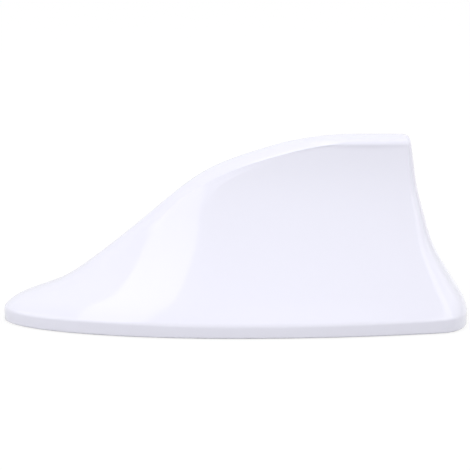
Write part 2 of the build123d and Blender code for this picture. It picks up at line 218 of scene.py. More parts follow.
# Soft boxes: degrees round and up, distance, width and length, roll in degrees, slide along the length
NOSE_BOX = (-85.4, 79.5, 0.9, (0.383, 1.77), 53.2, -0.807)
TOP_BOX = (0.0, 87.0, 1.0, (0.6, 0.45), 0.0, 0.0)
REAR_BOX = (105.0, 30.0, 0.9, (0.8, 0.8), 0.0, 0.0)
BOX_AIM = 30 * MM

# Half width of the floor, width of the camera's sensor in millimetres, and how near and far it sees
FLOOR_REACH = 6.0
SENSOR_WIDTH = 36.0
CLIP_RANGE = (0.01, 20.0)


def length_setting(name, about, default):
    """Setting that holds a length."""
    return FloatProperty(name=name, description=about, unit="LENGTH", default=default)


def colour_setting(name, about, default):
    """Setting that holds a colour."""
    return FloatVectorProperty(name=name, description=about, subtype="COLOR", size=3, default=default)


class FinFormSettings(bpy.types.PropertyGroup):
    """Sizes of the cover"""

    length: length_setting("Length", "Length of the cover", COVER_HIGH.x - COVER_LOW.x)
    width: length_setting("Width", "Width of the cover at its foot", COVER_HIGH.y - COVER_LOW.y)
    height: length_setting("Height", "Height of the ridge above the roof", COVER_HIGH.z)
    lift: length_setting("Lift", "Height of the cover's rim above the roof", COVER_LOW.z)
    lip_height: length_setting("Lip height", "Height of the upright band round the foot", 4.8 * MM)
    lip_round: length_setting("Lip round", "Radius where the band turns into the flank", 2.5 * MM)
    foot_round: length_setting("Foot round", "Round of the band's lower edge", 0.5 * MM)
    wall: length_setting("Wall", "Thickness of the cover's wall", 1.8 * MM)
    lip_wall: length_setting("Lip wall", "Thickness of the band", 2.2 * MM)
    shoulder: length_setting("Shoulder", "Width of the step that meets the seal", 2.2 * MM)
    shoulder_height: length_setting("Shoulder height", "Height of that step above the roof", 4.6 * MM)
    boss_radius: length_setting("Boss radius", "Radius of the screw bosses", 3.2 * MM)
    boss_foot: length_setting("Boss foot", "Height of the bosses' lower ends", 5.4 * MM)
    pilot_radius: length_setting("Pilot radius", "Radius of the holes in the bosses", 1.25 * MM)
    pilot_depth: length_setting("Pilot depth", "Depth of the holes in the bosses", 6.0 * MM)
    rib: length_setting("Rib", "Thickness of the ribs that guide the aerial board", 1.0 * MM)
    rib_gap: length_setting("Rib gap", "Play of the aerial board between the ribs", 0.15 * MM)
    rib_grip: length_setting("Rib grip", "How far the ribs reach over the board", 2.0 * MM)
    rib_rise: length_setting(
        "Rib rise", "Height of the ribs' lower ends above the lower board", 20.0 * MM,
    )


class ScrewSettings(bpy.types.PropertyGroup):
    """Sizes of the screws"""

    base_shank: length_setting("Base screw shank", "Radius of the base screws", 1.2 * MM)
    base_pitch: length_setting("Base screw pitch", "Pitch of their thread", 1.0 * MM)
    board_shank: length_setting("Board screw shank", "Radius of the board screws", 0.85 * MM)
    board_pitch: length_setting("Board screw pitch", "Pitch of their thread", 0.7 * MM)
    board_head: length_setting("Board screw head", "Height of the board screws' heads", 1.4 * MM)


class FinishSettings(bpy.types.PropertyGroup):
    """Colours and finishes"""

    paint: colour_setting("Paint", "Colour of the cover", (0.853, 0.850, 0.955))
    paint_roughness: FloatProperty(
        name="Paint roughness", description="Softness of reflections in the cover", default=0.06,
    )
    peel_size: length_setting("Peel size", "Width of the faint ripple in the paint", 2.2 * MM)
    peel_depth: length_setting("Peel depth", "Depth of the faint ripple", 0.0006 * MM)
    plastic: colour_setting("Base plastic", "Colour of the base plate", (0.028, 0.028, 0.030))
    rubber: colour_setting("Rubber", "Colour of the seal and the grommet", (0.040, 0.040, 0.042))
    foam: colour_setting("Tape foam", "Colour of the sticky tape", (0.100, 0.100, 0.104))
    steel: colour_setting("Screw steel", "Colour of the screws", (0.56, 0.57, 0.60))
    tin: colour_setting("Tin", "Colour of tinned sheet", (0.72, 0.72, 0.71))
    brass: colour_setting("Brass", "Colour of the cable socket", (0.78, 0.60, 0.28))
    copper: colour_setting("Copper", "Colour of the aerial track", (0.72, 0.36, 0.20))
    mask: colour_setting("Board mask", "Colour of the boards", (0.020, 0.145, 0.062))
    ceramic: colour_setting("Ceramic", "Colour of the ceramic capacitors", (0.45, 0.32, 0.20))
    film: colour_setting("Resistor film", "Colour of the resistors", (0.035, 0.035, 0.038))
    resin: colour_setting("Chip resin", "Colour of the amplifier chip", (0.022, 0.022, 0.024))
    ferrite: colour_setting("Ferrite", "Colour of the choke", (0.070, 0.068, 0.066))
    can_metal: colour_setting("Can metal", "Colour of the supply capacitor's can", (0.78, 0.78, 0.79))
    can_foot: colour_setting("Can foot", "Colour of the foot under that can", (0.02, 0.02, 0.02))


class StageSettings(bpy.types.PropertyGroup):
    """Camera and light"""

    elevation: FloatProperty(
        name="Elevation", description="Angle of the camera above the floor", subtype="ANGLE",
        default=math.radians(11.0),
    )
    distance: length_setting("Distance", "From the camera to the fin", 0.9)
    aim_height: length_setting("Aim height", "Height that the camera looks at", 31.1 * MM)
    aim_side: length_setting("Aim side", "Place along the fin that the camera looks at", -0.15 * MM)
    lens: FloatProperty(
        name="Lens", description="Focal length on a 36 mm sensor", default=190.6,
    )
    room: FloatProperty(
        name="Room light", description="Brightness of the light from all round", default=0.99,
    )
    nose_light: FloatProperty(
        name="Nose box", description="Brightness of the long soft box over the nose", default=1.35,
    )
    top_light: FloatProperty(
        name="Top box", description="Brightness of the soft box overhead", default=0.20,
    )
    rear_light: FloatProperty(
        name="Rear box", description="Brightness of the soft box behind the tail", default=0.50,
    )
    tail_light: FloatProperty(
        name="Tail panel", description="Brightness of the lit panel towards the tail", default=1.38,
    )
    lip_light: FloatProperty(
        name="Nose panel", description="Brightness of the low lit panel towards the nose", default=0.98,
    )


def blend(pair, fall):
    """Value between a foot value and a ridge value."""
    return pair[1] + (pair[0] - pair[1]) * fall


def bezier(pull, t):
    """Point on a cubic curve with four control points."""
    s = 1 - t
    return s**3 * pull[0] + 3 * s * s * t * pull[1] + 3 * s * t * t * pull[2] + t**3 * pull[3]


def arc_pull(angle):
    """Pull of a cubic curve that follows an arc, as a share of the radius."""
    return 4 / 3 * np.tan(angle / 4)


def half_outline(form, row, inset, counts):
    """Plan points of one side, nose tip to the middle of the tail, drawn in from the skin."""
    height, nose_end, tail_end, width, nose_share, crisp = row
    fall = 1 - height
    x0 = (nose_end - 0.5) * form.length + inset
    x1 = (tail_end - 0.5) * form.length - inset
    half = width * form.width / 2 - inset
    run = (x1 - x0) * nose_share
    tail = half * blend(TAIL_SHARE, fall)
    corner = CORNER_SHARE * tail
    xm, xk = x0 + run, x1 - corner
    t = [np.linspace(0, 1, count + 1)[:, None] for count in counts]

    # Round nose as two curves that meet at the crest
    edge = math.asin((1 + (half / CREST_HALF) ** CREST_POWER) ** (-1 / CREST_POWER))
    along = np.array((run * math.sin(edge), half * math.cos(edge)))
    out = np.array((-along[1], along[0])) / np.hypot(*along)
    crest = np.array((xm - run * math.cos(edge), half * math.sin(edge))) + out * CREST_PUSH * crisp
    tip, wide = np.array((x0, 0.0)), np.array((xm, half))
    crown_pull = arc_pull(edge)
    front_pull = arc_pull(math.pi / 2 - edge)
    lean = (1 - CREST_SHARP * crisp) * along
    settle_run = np.array((front_pull * (1 - CREST_FLAT * crisp) * run, 0.0))
    crown = [tip, tip + (0, crown_pull * half), crest - crown_pull * lean, crest]
    front = [crest, crest + front_pull * lean, wide - settle_run, wide]

    # Flank as an arc that leaves the nose straight back
    drop, span = half - tail, xk - xm
    radius = (span**2 + drop**2) / (2 * drop)
    turn = t[2][1:, 0] * math.asin(span / radius)
    flank = np.column_stack([xm + radius * np.sin(turn), half - radius + radius * np.cos(turn)])

    # Tail as one curve that closes square to the middle
    reach = blend(CORNER_PULL, fall) * corner
    tail_pull = np.array([
        (xk, tail),
        (xk + reach, tail - reach * math.tan(turn[-1])),
        (x1, blend(TAIL_PULL, fall) * tail),
        (x1, 0.0),
    ])
    return np.concatenate([
        bezier(crown, t[0]), bezier(front, t[1][1:]), flank, bezier(tail_pull, t[3][1:]),
    ])


def ring(form, row, inset, z, counts):
    """Closed loop of points at a height: one side, then the other side back to the nose."""
    side = half_outline(form, row, inset, counts)
    plan = np.concatenate([side, side[-2:0:-1] * (1, -1)])
    return np.column_stack([plan, np.full(len(plan), z)])


def circle(radius, z, count):
    """Closed loop of points round the Z axis."""
    turn = np.arange(count) / count * 2 * math.pi
    return np.column_stack([-radius * np.cos(turn), radius * np.sin(turn), np.full(count, z)])


def spline_fit(knots, rows):
    """Second derivatives of the natural spline through rows of points."""
    n = len(knots)
    step = np.diff(knots)
    system = np.eye(n)
    right = np.zeros_like(rows)
    for i in range(1, n - 1):
        system[i, i - 1:i + 2] = step[i - 1] / 6, (step[i - 1] + step[i]) / 3, step[i] / 6
        right[i] = (rows[i + 1] - rows[i]) / step[i] - (rows[i] - rows[i - 1]) / step[i - 1]
    return np.linalg.solve(system, right.reshape(n, -1)).reshape(rows.shape)


def spline_read(knots, rows, bends, at):
    """Points of the spline at places given row by row and column by column."""
    i = np.clip(np.searchsorted(knots, at, side="right") - 1, 0, len(knots) - 2)
    column = np.arange(rows.shape[1])[None, :]
    step = (knots[i + 1] - knots[i])[..., None]
    a = (knots[i + 1] - at)[..., None] / step
    b = 1 - a
    straight = a * rows[i, column] + b * rows[i + 1, column]
    curve = (a**3 - a) * bends[i, column] + (b**3 - b) * bends[i + 1, column]
    return straight + curve * step**2 / 6


def level_height(form, row):
    """Height of a level above the roof."""
    lip_top = form.lift + form.lip_height
    return lip_top + row[0] * (form.height - lip_top)


def level_loft(form, levels, inset, counts, steps):
    """Knots, rows and bends of the skin through the levels, and even places between them."""
    heights = [level_height(form, row) - inset for row in levels]
    rows = np.array([ring(form, row, inset, z, counts) for row, z in zip(levels, heights)])
    gaps = np.linalg.norm(np.diff(rows, axis=0), axis=2).mean(1)
    knots = np.concatenate([[0], np.cumsum(gaps)]) / gaps.sum()
    every = np.arange(steps * (len(levels) - 1) + 1) / steps
    places = np.interp(every, np.arange(len(levels)), knots)
    return knots, rows, spline_fit(knots, rows), places


def new_piece(name, points, faces):
    """Mesh object whose faces all look outwards."""
    mesh = bpy.data.meshes.new(name)
    mesh.from_pydata([tuple(point) for point in points], [], faces)
    work = bmesh.new()
    work.from_mesh(mesh)
    bmesh.ops.recalc_face_normals(work, faces=work.faces)
    work.to_mesh(mesh)
    work.free()
    piece = bpy.data.objects.new(name, mesh)
    bpy.context.scene.collection.objects.link(piece)
    return piece


def solid_from_rings(name, rings):
    """Closed mesh from a stack of loops, with its two ends bridged straight across."""
    rings = np.asarray(rings)
    count = rings.shape[1]
    half = count // 2
    faces = []
    for r in range(len(rings) - 1):
        low, high = r * count, (r + 1) * count
        for c in range(count):
            d = (c + 1) % count
            faces.append((low + c, low + d, high + d, high + c))
    for start in (0, (len(rings) - 1) * count):
        cap = [(0, 1, count - 1), (half - 1, half, half + 1)]
        cap += [(c, c + 1, count - c - 1, count - c) for c in range(1, half - 1)]
        faces += [tuple(start + c for c in face) for face in cap]
    return new_piece(name, rings.reshape(-1, 3), faces)


def block(name, low, high, shrink=1.0):
    """Upright block between two corners, whose upper end may be smaller than its lower end."""
    low, high = np.array(low), np.array(high)
    middle, reach = (low + high) / 2, (high - low) / 2
    points = []
    for z, size in ((-1, 1.0), (1, shrink)):
        for x, y in ((-1, -1), (1, -1), (1, 1), (-1, 1)):
            points.append(middle + reach * (x * size, y * size, z))
    faces = [(0, 1, 2, 3), (4, 5, 6, 7), (0, 1, 5, 4), (1, 2, 6, 5), (2, 3, 7, 6), (3, 0, 4, 7)]
    return new_piece(name, points, faces)


def combine(piece, tool, how):
    """Cuts, joins or crops a piece with a tool, which is then removed."""
    change = piece.modifiers.new("change", "BOOLEAN")
    change.operation = how
    change.solver = "EXACT"
    change.object = tool
    graph = bpy.context.evaluated_depsgraph_get()
    graph.update()
    mesh = bpy.data.meshes.new_from_object(piece.evaluated_get(graph))
    if not mesh.polygons:
        raise RuntimeError(f"Nothing is left of {piece.name} after {how} with {tool.name}")
    spent = [piece.data, tool.data]
    piece.modifiers.clear()
    piece.data = mesh
    bpy.data.objects.remove(tool)
    for old in spent:
        bpy.data.meshes.remove(old)
    mesh.name = piece.name


def shade(piece, angle):
    """Smooth shading, with edges sharper than the angle kept crisp."""
    mesh = piece.data
    mesh.polygons.foreach_set("use_smooth", [True] * len(mesh.polygons))
    mesh.set_sharp_from_angle(angle=math.radians(angle))


def hand_over(piece, slot, *nodes):
    """Hangs a finished piece on the root body and hides the solids it stands for. Its slot argument is
    not used.
    """
    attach(piece, "root")
    if nodes:
        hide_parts(*nodes)


def solid_boxes(node):
    """Lowest and highest corner of each separate solid in a node."""
    work = bmesh.new()
    work.from_mesh(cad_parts[node].data)
    bmesh.ops.remove_doubles(work, verts=work.verts, dist=0.001 * MM)
    left = set(work.verts)
    boxes = []
    while left:
        reached = [left.pop()]
        for vert in reached:
            for edge in vert.link_edges:
                other = edge.other_vert(vert)
                if other in left:
                    left.remove(other)
                    reached.append(other)
        points = np.array([vert.co for vert in reached])
        boxes.append((Vector(points.min(0)), Vector(points.max(0))))
    work.free()
    return sorted(boxes, key=lambda box: tuple(round(v / MM, 2) for v in box[0]))


def new_node(tree, kind, values=(), **settings):
    """Shader node with its settings and its constant inputs."""
    node = tree.nodes.new(kind)
    for key, value in settings.items():
        setattr(node, key, value)
    for key, value in dict(values).items():
        node.inputs[key].default_value = value
    return node


def object_place(tree, stretch=(1, 1, 1)):
    """Place on the piece in its own frame, stretched along the axes."""
    place = new_node(tree, "ShaderNodeTexCoord").outputs["Object"]
    mapping = new_node(tree, "ShaderNodeMapping", {"Scale": stretch})
    tree.links.new(place, mapping.inputs["Vector"])
    return mapping.outputs["Vector"]


def grain(tree, size, detail=2.0, stretch=(1, 1, 1)):
    """Noise of a given grain size."""
    noise = new_node(tree, "ShaderNodeTexNoise", {"Scale": 1 / size, "Detail": detail})
    tree.links.new(object_place(tree, stretch), noise.inputs["Vector"])
    return noise.outputs["Fac"]


def spread(tree, value, low, high):
    """Noise stretched to a range of numbers."""
    limits = {"From Min": NOISE_RANGE[0], "From Max": NOISE_RANGE[1], "To Min": low, "To Max": high}
    stretch = new_node(tree, "ShaderNodeMapRange", limits)
    tree.links.new(value, stretch.inputs["Value"])
    return stretch.outputs["Result"]


def tint(tree, value, dark, light):
    """Colour that drifts between two tones with the noise."""
    ramp = new_node(tree, "ShaderNodeValToRGB")
    for stop, place, colour in zip(ramp.color_ramp.elements, NOISE_RANGE, (dark, light)):
        stop.position = place
        stop.color = (*colour, 1)
    tree.links.new(value, ramp.inputs["Fac"])
    return ramp.outputs["Color"]


def blend_colours(tree, share, first, second):
    """Colour that changes from the first to the second with the share."""
    mix = new_node(tree, "ShaderNodeMix", data_type="RGBA")
    tree.links.new(share, mix.inputs["Factor"])
    for socket, colour in ((mix.inputs[6], first), (mix.inputs[7], second)):
        if isinstance(colour, tuple):
            socket.default_value = (*colour, 1)
        else:
            tree.links.new(colour, socket)
    return mix.outputs[2]


def sums(tree, how, first, second):
    """Result of a sum on two values, each a number or the output of a node."""
    node = new_node(tree, "ShaderNodeMath", operation=how)
    for socket, value in zip(node.inputs, (first, second)):
        if isinstance(value, (int, float)):
            socket.default_value = value
        else:
            tree.links.new(value, socket)
    return node.outputs[0]


def relief(tree, value, depth, shader):
    """Raises the surface by the depth where the value is high."""
    bump = new_node(tree, "ShaderNodeBump", {"Strength": 1.0, "Distance": depth})
    tree.links.new(value, bump.inputs["Height"])
    tree.links.new(bump.outputs["Normal"], shader.inputs["Normal"])


def fresh_material(name, metallic=0.0):
    """Material with one shader, and its node tree."""
    material = bpy.data.materials.new(name)
    material.use_nodes = True
    tree = material.node_tree
    tree.nodes.clear()
    shader = new_node(tree, "ShaderNodeBsdfPrincipled", {"Metallic": metallic, "IOR": GLOSS_IOR})
    out = new_node(tree, "ShaderNodeOutputMaterial")
    tree.links.new(shader.outputs[0], out.inputs[0])
    return material, tree, shader


def darker(colour, share):
    """Colour brought down to a share of its tone."""
    return tuple(share * part for part in colour)


def plain_finish(name, colour, drift=0.15, stretch=(1, 1, 1)):
    """Finish whose tone, gloss and relief follow one grain."""
    roughness, size, depth, metallic = GRAINS[name]
    material, tree, shader = fresh_material(name, metallic)
    wide = grain(tree, TONE_PATCH * size, FINE_DETAIL, stretch)
    light = tuple(colour)
    tree.links.new(tint(tree, wide, darker(light, 1 - drift), light), shader.inputs["Base Color"])
    fine = grain(tree, size, FINE_DETAIL, stretch)
    play = ROUGH_PLAY * roughness
    tree.links.new(spread(tree, fine, roughness - play, roughness + play), shader.inputs["Roughness"])
    relief(tree, fine, depth, shader)
    return material


def cover_paint(finish):
    """Glossy lacquer with a faint ripple."""
    material, tree, shader = fresh_material("cover_gloss")
    colour = tuple(finish.paint)
    tone = tint(tree, grain(tree, TONE_CLOUD), darker(colour, 1 - TONE_PLAY), colour)
    tree.links.new(tone, shader.inputs["Base Color"])
    gloss = finish.paint_roughness
    play = GLOSS_PLAY * gloss
    soft = spread(tree, grain(tree, GLOSS_CLOUD, FINE_DETAIL), gloss - play, gloss + play)
    tree.links.new(soft, shader.inputs["Roughness"])
    relief(tree, grain(tree, finish.peel_size, 1.0), finish.peel_depth, shader)
    return material


def tape_foam(finish):
    """Closed-cell foam with small pores, with shade painted in: darker towards the cell edges, where the
    relief is lower.
    """
    material, tree, shader = fresh_material("tape_foam")
    cells = new_node(tree, "ShaderNodeTexVoronoi", {"Scale": 1 / PORE_SIZE})
    tree.links.new(object_place(tree), cells.inputs["Vector"])
    colour = tuple(finish.foam)
    # Painted shade: the foam's tone darkens towards the cell edges, where the relief sinks
    tone = tint(tree, cells.outputs["Distance"], colour, darker(colour, PORE_SHADE))
    tree.links.new(tone, shader.inputs["Base Color"])
    tree.links.new(spread(tree, grain(tree, FOAM_CLOUD), *FOAM_ROUGHNESS), shader.inputs["Roughness"])
    pores = sums(tree, "SUBTRACT", 1.0, cells.outputs["Distance"])
    relief(tree, pores, PORE_DEPTH, shader)
    return material


def board_mask(name, colour):
    """Lacquered circuit board with tracks showing through the mask."""
    material, tree, shader = fresh_material(name)
    fields = new_node(tree, "ShaderNodeTexVoronoi", {"Scale": 1 / TRACK_FIELD}, distance="CHEBYCHEV")
    tree.links.new(object_place(tree), fields.inputs["Vector"])
    parts = new_node(tree, "ShaderNodeSeparateColor")
    tree.links.new(fields.outputs["Color"], parts.inputs[0])
    tracks = []
    for way, low, high in TRACK_WAYS:
        pitch = {"Scale": WAVE_LENGTH / TRACK_PITCH}
        wave = new_node(tree, "ShaderNodeTexWave", pitch, bands_direction=way)
        tree.links.new(object_place(tree), wave.inputs["Vector"])
        line = sums(tree, "GREATER_THAN", wave.outputs["Fac"], TRACK_LIMIT)
        above = sums(tree, "GREATER_THAN", parts.outputs[0], low)
        below = sums(tree, "LESS_THAN", parts.outputs[0], high)
        tracks.append(sums(tree, "MULTIPLY", line, sums(tree, "MULTIPLY", above, below)))
    track = sums(tree, "MAXIMUM", *tracks)
    mask = tuple(colour)
    lit = (mask[0] + TRACK_LIFT, mask[1] * TRACK_GAIN, mask[2] + TRACK_LIFT)
    bare = tint(tree, grain(tree, MASK_CLOUD), darker(mask, MASK_TONE), mask)
    tree.links.new(blend_colours(tree, track, bare, lit), shader.inputs["Base Color"])
    tree.links.new(spread(tree, grain(tree, MASK_GRAIN), *MASK_ROUGHNESS), shader.inputs["Roughness"])
    relief(tree, track, TRACK_HEIGHT, shader)
    return material


def can_finish(limit, foot_colour, metal_colour):
    """Bare metal can above a height, and its plastic foot below it."""
    material, tree, shader = fresh_material("capacitor_can")
    parts = new_node(tree, "ShaderNodeSeparateXYZ")
    tree.links.new(object_place(tree), parts.inputs[0])
    high = sums(tree, "GREATER_THAN", parts.outputs["Z"], limit)
    tone = grain(tree, CAN_GRAIN, FINE_DETAIL)
    metal = tint(tree, tone, darker(metal_colour, CAN_TONE), tuple(metal_colour))
    foot = tint(tree, tone, darker(foot_colour, CAN_FOOT_TONE), tuple(foot_colour))
    tree.links.new(blend_colours(tree, high, foot, metal), shader.inputs["Base Color"])
    tree.links.new(high, shader.inputs["Metallic"])
    tree.links.new(spread(tree, tone, *CAN_ROUGHNESS), shader.inputs["Roughness"])
    return material


def dress(material, *nodes):
    """Gives solids that keep their own form their finish."""
    for name in nodes:
        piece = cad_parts[name]
        if not piece.material_slots:
            piece.data.materials.append(material)
        for slot in piece.material_slots:
            slot.material = material


def hollow_form(form):
    """Inside of the cover, with the screw bosses and the guide ribs left out."""
    soft_levels = [row[:-1] + (0.0,) for row in LEVELS[:-2]]
    knots, rows, bends, places = level_loft(form, soft_levels, form.wall, INNER_COUNTS, INNER_STEPS)
    inside = spline_read(knots, rows, bends, np.repeat(places[:, None], rows.shape[1], 1))
    hollow = solid_from_rings("hollow", inside)
    mouth_inset = form.lip_wall + form.shoulder
    mouth_low = form.shoulder_height - MM
    above = 2 * form.height
    mouth = [ring(form, FOOT, mouth_inset, z, INNER_COUNTS) for z in (mouth_low, above)]
    combine(hollow, solid_from_rings("mouth", mouth), "INTERSECT")
    lip = [ring(form, FOOT, form.lip_wall, z, INNER_COUNTS) for z in (-form.lift, form.shoulder_height)]
    combine(hollow, solid_from_rings("lip_inside", lip), "UNION")
    for x, y in screw_places("base_screws"):
        boss = [circle(form.boss_radius, z, BOSS_SIDES) + (x, y, 0) for z in (form.boss_foot, above)]
        combine(hollow, solid_from_rings("boss", boss), "DIFFERENCE")
    inner_y = AERIAL_HIGH.y + form.rib_gap
    for side in (1, -1):
        ends = sorted((side * inner_y, side * (inner_y + form.rib)))
        low = (AERIAL_HIGH.x - form.rib_grip, ends[0], BOARD_TOP + form.rib_rise)
        high = (form.length, ends[1], WING_LOW)
        combine(hollow, block("rib", low, high), "DIFFERENCE")
    return hollow


def screw_places(node):
    """Middles of the screws of a node, seen from above."""
    return [((low.x + high.x) / 2, (low.y + high.y) / 2) for low, high in solid_boxes(node)]


class FIN_OT_cover(bpy.types.Operator):
    """Builds the glossy cover as one smooth moulded shell"""

    bl_idname = "fin_aerial.cover"
    bl_label = "Cover"

    def execute(self, context):
        form = context.scene.fin_form
        knots, rows, bends, places = level_loft(form, LEVELS, 0.0, SKIN_COUNTS, SKIN_STEPS)
        nudge = 1e-3
        first = spline_read(knots, rows, bends, np.full((1, rows.shape[1]), nudge))[0] - rows[0]
        speed = np.linalg.norm(first, axis=1) / nudge
        rise = first / (speed * nudge)[:, None]
        turn = np.arccos(np.clip(rise[:, 2], -1, 1))
        trim = form.lip_round * np.tan(turn / 2)
        begin = (trim / speed)[None, :]
        skin = spline_read(knots, rows, bends, begin + (1 - begin) * places[:, None])
        up = np.array((0.0, 0.0, 1.0))
        handle = (form.lip_round * arc_pull(turn))[:, None]
        band_top = rows[0] - trim[:, None] * up
        pull = [band_top, band_top + handle * up, skin[0] - handle * rise, skin[0]]
        lip = [bezier(pull, t) for t in np.linspace(0, 1, LIP_ROWS + 1)[:-1]]
        edge = form.foot_round
        foot = []
        for t in np.linspace(0, math.pi / 2, FOOT_ROWS + 1):
            inset, z = edge * (1 - math.sin(t)), form.lift + edge * (1 - math.cos(t))
            foot.append(ring(form, FOOT, inset, z, SKIN_COUNTS))
        band = [foot[-1] + share * (band_top - foot[-1]) for share in BAND_SHARES]
        cover = solid_from_rings("cover", np.array([*foot, *band, *lip, *skin]))
        combine(cover, hollow_form(form), "DIFFERENCE")
        for x, y in screw_places("base_screws"):
            ends = (form.boss_foot - MM, form.boss_foot + form.pilot_depth)
            pilot = [circle(form.pilot_radius, z, PILOT_SIDES) + (x, y, 0) for z in ends]
            combine(cover, solid_from_rings("pilot", pilot), "DIFFERENCE")
        shade(cover, COVER_CRISP)
        cover.data.materials.clear()
        cover.data.materials.append(cover_paint(context.scene.fin_finish))
        hand_over(cover, "cover_gloss", "fin_cover")
        return {"FINISHED"}


class FIN_OT_base(bpy.types.Operator):
    """Finishes the base plate with its seal, sticky tape and grommet"""

    bl_idname = "fin_aerial.base"
    bl_label = "Base, seal, tape and grommet"

    def execute(self, context):
        finish = context.scene.fin_finish
        dress(plain_finish("base_plastic", finish.plastic), "base_plate")
        dress(plain_finish("seal_rubber", finish.rubber), "cover_seal")
        dress(plain_finish("grommet_rubber", finish.rubber), "cable_grommet")
        dress(tape_foam(finish), "adhesive_ring")
        return {"FINISHED"}


def threaded(radius, pitch, start, end):
    """Loops of a thread whose crests lie on the shank's radius, with a tapered tip."""
    root = THREAD_ROOT * radius
    turn = np.arange(SCREW_SIDES) / SCREW_SIDES
    loops = []
    for z in np.arange(start, end, pitch / THREAD_STEPS):
        phase = (z / pitch - turn) % 1
        tooth = np.clip(THREAD_SLOPE * (0.5 - np.abs(phase - 0.5)), 0, 1)
        fade = min(1.0, (z - start) / pitch)
        taper = min(1.0, THREAD_TAPER + (1 - THREAD_TAPER) * (end - z) / (2 * pitch))
        size = taper * (root + fade * tooth * (radius - root))
        loop = circle(1.0, z, SCREW_SIDES)
        loops.append(loop * np.column_stack([size, size, np.ones(SCREW_SIDES)]))
    loops.append(circle(THREAD_TIP * root, end, SCREW_SIDES))
    return loops


def cross_screw(radius, pitch, length, head, head_height, pan):
    """Screw along +Z with a cross recess in its head, whose face is at Z = 0."""
    edge = HEAD_EDGE * head
    slope = 0.6 * edge
    if pan:
        profile = [(head - 2 * edge, 0), (head - slope, slope), (head, 2 * edge), (head, head_height)]
    else:
        profile = [(head - edge, 0), (head, slope), (radius, head_height)]
    loops = [circle(size, z, SCREW_SIDES) for size, z in profile]
    loops += threaded(radius, pitch, head_height + THREAD_GAP, length)
    screw = solid_from_rings("screw", np.array(loops))
    arm, blade, depth = RECESS_ARM * head, RECESS_BLADE * head, RECESS_DEPTH * head
    for x, y in ((arm, blade), (blade, arm)):
        recess = block("recess", (-x, -y, -0.2 * depth), (x, y, depth), RECESS_END)
        combine(screw, recess, "DIFFERENCE")
    return screw


def spread_screws(name, screw, places):
    """One piece with a copy of the screw at each place, each turned a little further."""
    work = bmesh.new()
    for place in places:
        copy = screw.data.copy()
        copy.transform(place)
        work.from_mesh(copy)
        bpy.data.meshes.remove(copy)
    mesh = bpy.data.meshes.new(name)
    work.to_mesh(mesh)
    work.free()
    old = screw.data
    bpy.data.objects.remove(screw)
    bpy.data.meshes.remove(old)
    piece = bpy.data.objects.new(name, mesh)
    bpy.context.scene.collection.objects.link(piece)
    shade(piece, SCREW_CRISP)
    return piece


class FIN_OT_screws(bpy.types.Operator):
    """Builds the countersunk base screws and the pan head board screws"""

    bl_idname = "fin_aerial.screws"
    bl_label = "Screws"

    def execute(self, context):
        screws = context.scene.fin_screws
        steel = plain_finish("screw_zinc", context.scene.fin_finish.steel)
        kinds = (
            ("countersunk_screws", "base_screws", screws.base_shank, screws.base_pitch, False),
            ("pan_head_screws", "board_screws", screws.board_shank, screws.board_pitch, True),
        )
        for name, node, shank, pitch, pan in kinds:
            boxes = solid_boxes(node)
            low, high = boxes[0]
            head = (high.x - low.x) / 2
            head_height = screws.board_head if pan else head - shank
            screw = cross_screw(shank, pitch, high.z - low.z, head, head_height, pan)
            places = []
            for index, (low, high) in enumerate(boxes):
                face = high.z if pan else low.z
                middle = Vector(((low.x + high.x) / 2, (low.y + high.y) / 2, face))
                tip = Matrix.Rotation(math.pi if pan else 0.0, 4, "X")
                turn = Matrix.Rotation(index * SCREW_TURN, 4, "Z")
                places.append(Matrix.Translation(middle) @ turn @ tip)
            piece = spread_screws(name, screw, places)
            piece.data.materials.clear()
            piece.data.materials.append(steel)
            hand_over(piece, "screw_steel", node)
        return {"FINISHED"}


class FIN_OT_boards(bpy.types.Operator):
    """Finishes the two circuit boards and the copper track"""

    bl_idname = "fin_aerial.boards"
    bl_label = "Boards and track"

    def execute(self, context):
        finish = context.scene.fin_finish
        dress(board_mask("amplifier_mask", finish.mask), "amplifier_board")
        dress(board_mask("aerial_mask", finish.mask), "aerial_board")
        dress(plain_finish("track_copper", finish.copper), "aerial_track")
        return {"FINISHED"}


class FIN_OT_metalwork(bpy.types.Operator):
    """Finishes the can, the top plate, the tabs, the legs and the socket"""

    bl_idname = "fin_aerial.metalwork"
    bl_label = "Tinned sheet and socket"

    def execute(self, context):
        finish = context.scene.fin_finish
        drawn = (0.15, 1, 1)
        tin = plain_finish("tinned_sheet", finish.tin, drift=0.12, stretch=drawn)
        dress(tin, "shield_can", "top_plate", "feed_tabs", "chip_legs", "tuning_coil")
        dress(plain_finish("socket_brass", finish.brass), "cable_socket")
        return {"FINISHED"}


def rounded_block(work, low, high, edge, index):
    """Adds a block with rounded edges to a mesh in the making."""
    middle, size = (low + high) / 2, high - low
    made = bmesh.ops.create_cube(work, size=1.0)["verts"]
    bmesh.ops.scale(work, vec=size, verts=made)
    bmesh.ops.translate(work, vec=middle, verts=made)
    edges = {line for vert in made for line in vert.link_edges}
    bevel = {"offset": edge, "segments": 2, "affect": "EDGES", "profile": 0.5}
    rounded = bmesh.ops.bevel(work, geom=list(edges), **bevel)
    faces = {face for vert in made if vert.is_valid for face in vert.link_faces} | set(rounded["faces"])
    for face in faces:
        face.material_index = index


def end_capped_parts(name, node, body, caps):
    """Small board parts with a body and a tinned cap at each end."""
    work = bmesh.new()
    for low, high in solid_boxes(node):
        body_low = Vector((low.x + CAP_LENGTH, low.y + CAP_SINK, low.z))
        body_high = high - Vector((CAP_LENGTH, CAP_SINK, CAP_SINK))
        rounded_block(work, body_low, body_high, 0.4 * CAP_EDGE, 0)
        rounded_block(work, low, Vector((low.x + CAP_LENGTH, high.y, high.z)), CAP_EDGE, 1)
        rounded_block(work, Vector((high.x - CAP_LENGTH, low.y, low.z)), high, CAP_EDGE, 1)
    mesh = bpy.data.meshes.new(name)
    work.to_mesh(mesh)
    work.free()
    piece = bpy.data.objects.new(name, mesh)
    bpy.context.scene.collection.objects.link(piece)
    for material in (body, caps):
        mesh.materials.append(material)
    shade(piece, PART_CRISP)
    return piece


